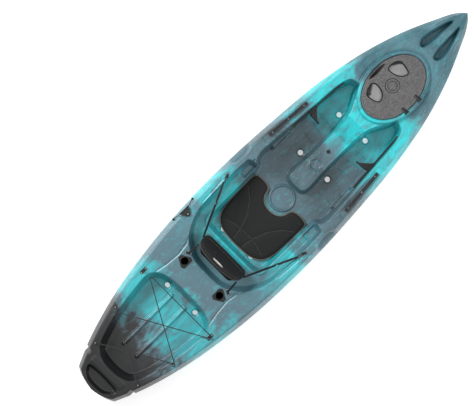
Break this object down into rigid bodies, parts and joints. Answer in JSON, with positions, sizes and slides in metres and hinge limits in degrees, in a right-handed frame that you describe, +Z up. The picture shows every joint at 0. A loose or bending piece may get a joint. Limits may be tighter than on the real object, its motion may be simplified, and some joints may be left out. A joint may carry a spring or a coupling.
{
  "type": "sit-on-top fishing kayak",
  "caption": "Sit-on-top fishing kayak with a hollow moulded hull, folding padded backrest, sliding foot braces, latched bow hatch, gear tracks and corded tankwell.",
  "frame": {"origin": "on the floor under the middle of the hull", "axes": "+X to the bow, +Y to port, +Z up"},
  "size_m": [3.35, 0.8262, 0.4543],
  "materials": {
    "hull_plastic": "satin rotomoulded polyethylene, swirled teal and slate",
    "hatch_plastic": "textured dark grey moulding",
    "black_plastic": "matt black moulding",
    "seal_rubber": "matt",
    "track_metal": "black anodised",
    "steel": "stainless, satin",
    "seat_fabric": "black padded fabric with grey piping",
    "webbing": "woven black webbing",
    "bungee": "black braided shock cord"
  },
  "bodies": {
    "hull": {"aft_bungee_posts": "black_plastic", "bungee_post_bolts": "steel", "console_plug": "black_plastic", "drain_plug_seal": "seal_rubber", "foot_rail_port": "black_plastic", "foot_rail_screws": "steel", "foot_rail_starboard": "black_plastic", "front_bungee_posts": "black_plastic", "front_pad_eyes": "black_plastic", "front_post_screws": "steel", "front_strap_port": "webbing", "front_strap_starboard": "webbing", "gear_track_port": "track_metal", "gear_track_screws": "steel", "gear_track_starboard": "track_metal", "hatch_gasket": "seal_rubber", "hatch_hinge_lugs": "black_plastic", "hatch_hinge_pins": "steel", "hull_bow": "hull_plastic", "hull_coaming": "hull_plastic", "hull_footwells": "hull_plastic", "hull_handle_bay": "hull_plastic", "hull_hatch_bay": "hull_plastic", "hull_rear_deck": "hull_plastic", "hull_seat_bay": "hull_plastic", "hull_stern": "hull_plastic", "hull_tankwell": "hull_plastic", "middle_bungee_posts": "black_plastic", "pad_eye_screws": "steel", "paddle_keeper_anchors": "black_plastic", "paddle_keeper_bolt": "steel", "paddle_keeper_cord": "bungee", "paddle_keeper_hook": "black_plastic", "paddle_keeper_knob": "black_plastic", "rear_pad_eyes": "black_plastic", "rear_strap_port": "webbing", "rear_strap_starboard": "webbing", "rod_holder_port": "black_plastic", "rod_holder_screws": "steel", "rod_holder_starboard": "black_plastic", "seat_hinge_brackets": "steel", "seat_hinge_rod": "steel", "seat_pad": "seat_fabric", "seat_pad_rivets": "steel", "snap_hooks": "steel", "strap_buckles": "black_plastic", "tankwell_bungee": "bungee"},
    "hatch": {"hatch_cover": "hatch_plastic"},
    "aft_latch": {"aft_latch_lever": "black_plastic", "aft_latch_cam": "black_plastic"},
    "forward_latch": {"forward_latch_lever": "black_plastic", "forward_latch_cam": "black_plastic"},
    "pedal_port": {"foot_pedal_port": "black_plastic"},
    "pedal_starboard": {"foot_pedal_starboard": "black_plastic"},
    "seat_back": {"seat_back_panel": "black_plastic", "seat_back_cushion": "seat_fabric"},
    "drain_plug": {"drain_plug": "black_plastic"}
  },
  "joints": [
    {"name": "hatch_hinge", "type": "hinge", "parent": "hull", "child": "hatch", "pos_m": [1.023, -0.175, 0.326], "axis": [1, 0, 0], "range_deg": [0, 105]},
    {"name": "aft_latch_turn", "type": "hinge", "parent": "hatch", "child": "aft_latch", "pos_m": [0.883, 0.079, 0.3155], "axis": [0, 0, -1], "range_deg": [0, 100]},
    {"name": "forward_latch_turn", "type": "hinge", "parent": "hatch", "child": "forward_latch", "pos_m": [1.163, 0.079, 0.3155], "axis": [0, 0, 1], "range_deg": [0, 100]},
    {"name": "pedal_slide_port", "type": "slide", "parent": "hull", "child": "pedal_port", "axis": [0.9975, -0.0711, 0], "range_m": [-0.112, 0.205]},
    {"name": "pedal_slide_starboard", "type": "slide", "parent": "hull", "child": "pedal_starboard", "axis": [0.9975, 0.0711, 0], "range_m": [-0.112, 0.205]},
    {"name": "seat_back_fold", "type": "hinge", "parent": "hull", "child": "seat_back", "pos_m": [-0.465, 0, 0.211], "axis": [0, 1, 0], "range_deg": [-12, 100]},
    {"name": "drain_plug_turn", "type": "hinge", "parent": "hull", "child": "drain_plug", "pos_m": [-1.616, -0.116, 0.2918], "axis": [0, 0, 1], "range_deg": [0, 360]}
  ]
}
